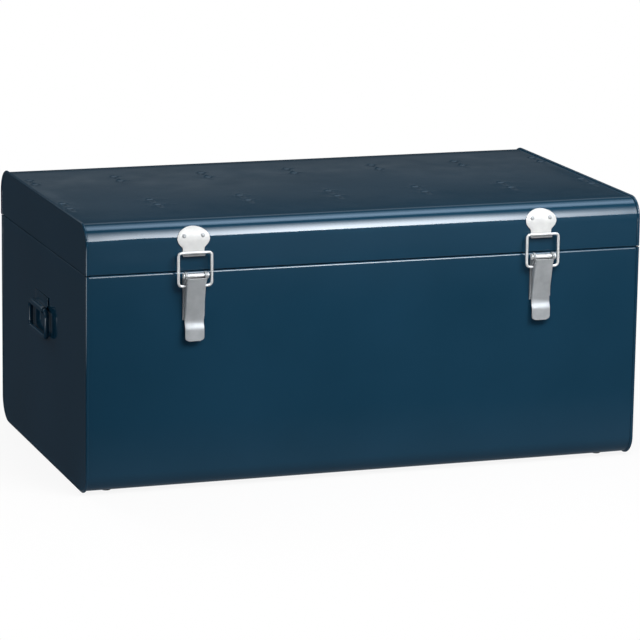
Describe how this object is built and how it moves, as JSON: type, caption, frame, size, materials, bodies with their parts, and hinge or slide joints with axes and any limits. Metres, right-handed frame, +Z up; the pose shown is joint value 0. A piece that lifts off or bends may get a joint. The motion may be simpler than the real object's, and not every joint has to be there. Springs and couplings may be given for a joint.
{
  "type": "steel storage trunk",
  "caption": "Steel storage trunk with rounded folded edges, a hinged lid held by draw latches, drop handles on the ends and folding lid stays inside.",
  "frame": {"origin": "on the floor under the centre of the overall box, the glides standing on z = 0", "axes": "+X to the trunk's right along its width, the front with the latches faces -Y, +Z up"},
  "size_m": [0.7992, 0.474, 0.3637],
  "materials": {
    "navy_enamel": "gloss",
    "satin_zinc": "satin",
    "bright_nickel": "bright",
    "black_rubber": "matte"
  },
  "bodies": {
    "body": {"body_wrapper": "navy_enamel", "body_end_left": "navy_enamel", "body_end_right": "navy_enamel", "body_rim": "navy_enamel", "foot_glides": "black_rubber", "hinge_leaf_lower": "navy_enamel", "hinge_pin": "satin_zinc", "hinge_rivets_lower": "navy_enamel", "latch_base_left": "satin_zinc", "latch_base_right": "satin_zinc", "latch_rivets": "bright_nickel", "latch_pin_left": "bright_nickel", "latch_pin_right": "bright_nickel", "handle_clip_left": "navy_enamel", "handle_clip_right": "navy_enamel", "stay_body_studs": "satin_zinc"},
    "lid": {"lid_wrapper": "navy_enamel", "lid_end_left": "navy_enamel", "lid_end_right": "navy_enamel", "lid_stiffener_front": "navy_enamel", "lid_stiffener_rear": "navy_enamel", "hinge_leaf_upper": "navy_enamel", "hinge_rivets_upper": "navy_enamel", "keeper_left": "bright_nickel", "keeper_right": "bright_nickel", "keeper_rivets": "bright_nickel", "stay_lid_studs": "satin_zinc"},
    "latch_lever_left": {"latch_lever_left": "satin_zinc"},
    "latch_wire_left": {"latch_wire_left": "bright_nickel"},
    "handle_left": {"handle_left": "navy_enamel"},
    "stay_lower_left": {"stay_lower_left": "satin_zinc"},
    "stay_upper_left": {"stay_upper_left": "satin_zinc"},
    "latch_lever_right": {"latch_lever_right": "satin_zinc"},
    "latch_wire_right": {"latch_wire_right": "bright_nickel"},
    "handle_right": {"handle_right": "navy_enamel"},
    "stay_lower_right": {"stay_lower_right": "satin_zinc"},
    "stay_upper_right": {"stay_upper_right": "satin_zinc"}
  },
  "joints": [
    {"name": "lid_hinge", "type": "hinge", "parent": "body", "child": "lid", "pos_m": [0, 0.23385, 0.2995], "axis": [-1, 0, 0], "range_deg": [0, 100]},
    {"name": "latch_lever_left_pivot", "type": "hinge", "parent": "body", "child": "latch_lever_left", "pos_m": [-0.2445, -0.23055, 0.2925], "axis": [-1, 0, 0], "range_deg": [0, 135]},
    {"name": "latch_wire_left_pivot", "type": "hinge", "parent": "latch_lever_left", "child": "latch_wire_left", "pos_m": [-0.2445, -0.22805, 0.2785], "axis": [-1, 0, 0], "range_deg": [-152, 0]},
    {"name": "handle_left_swing", "type": "hinge", "parent": "body", "child": "handle_left", "pos_m": [-0.3949, 0.00545, 0.212], "axis": [0, 1, 0], "range_deg": [0, 120]},
    {"name": "stay_lower_left_pivot", "type": "hinge", "parent": "body", "child": "stay_lower_left", "pos_m": [-0.383, 0.11385, 0.2295], "axis": [-1, 0, 0], "range_deg": [0, 133]},
    {"name": "stay_elbow_left", "type": "hinge", "parent": "stay_lower_left", "child": "stay_upper_left", "pos_m": [-0.381, -0.03825, 0.19485], "axis": [-1, 0, 0], "range_deg": [-123, 0]},
    {"name": "latch_lever_right_pivot", "type": "hinge", "parent": "body", "child": "latch_lever_right", "pos_m": [0.2445, -0.23055, 0.2925], "axis": [-1, 0, 0], "range_deg": [0, 135]},
    {"name": "latch_wire_right_pivot", "type": "hinge", "parent": "latch_lever_right", "child": "latch_wire_right", "pos_m": [0.2445, -0.22805, 0.2785], "axis": [-1, 0, 0], "range_deg": [-152, 0]},
    {"name": "handle_right_swing", "type": "hinge", "parent": "body", "child": "handle_right", "pos_m": [0.3949, 0.00545, 0.212], "axis": [0, -1, 0], "range_deg": [0, 120]},
    {"name": "stay_lower_right_pivot", "type": "hinge", "parent": "body", "child": "stay_lower_right", "pos_m": [0.383, 0.11385, 0.2295], "axis": [-1, 0, 0], "range_deg": [0, 133]},
    {"name": "stay_elbow_right", "type": "hinge", "parent": "stay_lower_right", "child": "stay_upper_right", "pos_m": [0.381, -0.03825, 0.19485], "axis": [-1, 0, 0], "range_deg": [-123, 0]}
  ],
  "couplings": [
    {"joint": "latch_wire_left_pivot", "follows": "latch_lever_left_pivot", "ratio": -1.12},
    {"joint": "stay_lower_left_pivot", "follows": "lid_hinge", "ratio": 1.323},
    {"joint": "stay_elbow_left", "follows": "lid_hinge", "ratio": -1.2234},
    {"joint": "latch_wire_right_pivot", "follows": "latch_lever_right_pivot", "ratio": -1.12},
    {"joint": "stay_lower_right_pivot", "follows": "lid_hinge", "ratio": 1.323},
    {"joint": "stay_elbow_right", "follows": "lid_hinge", "ratio": -1.2234}
  ]
}
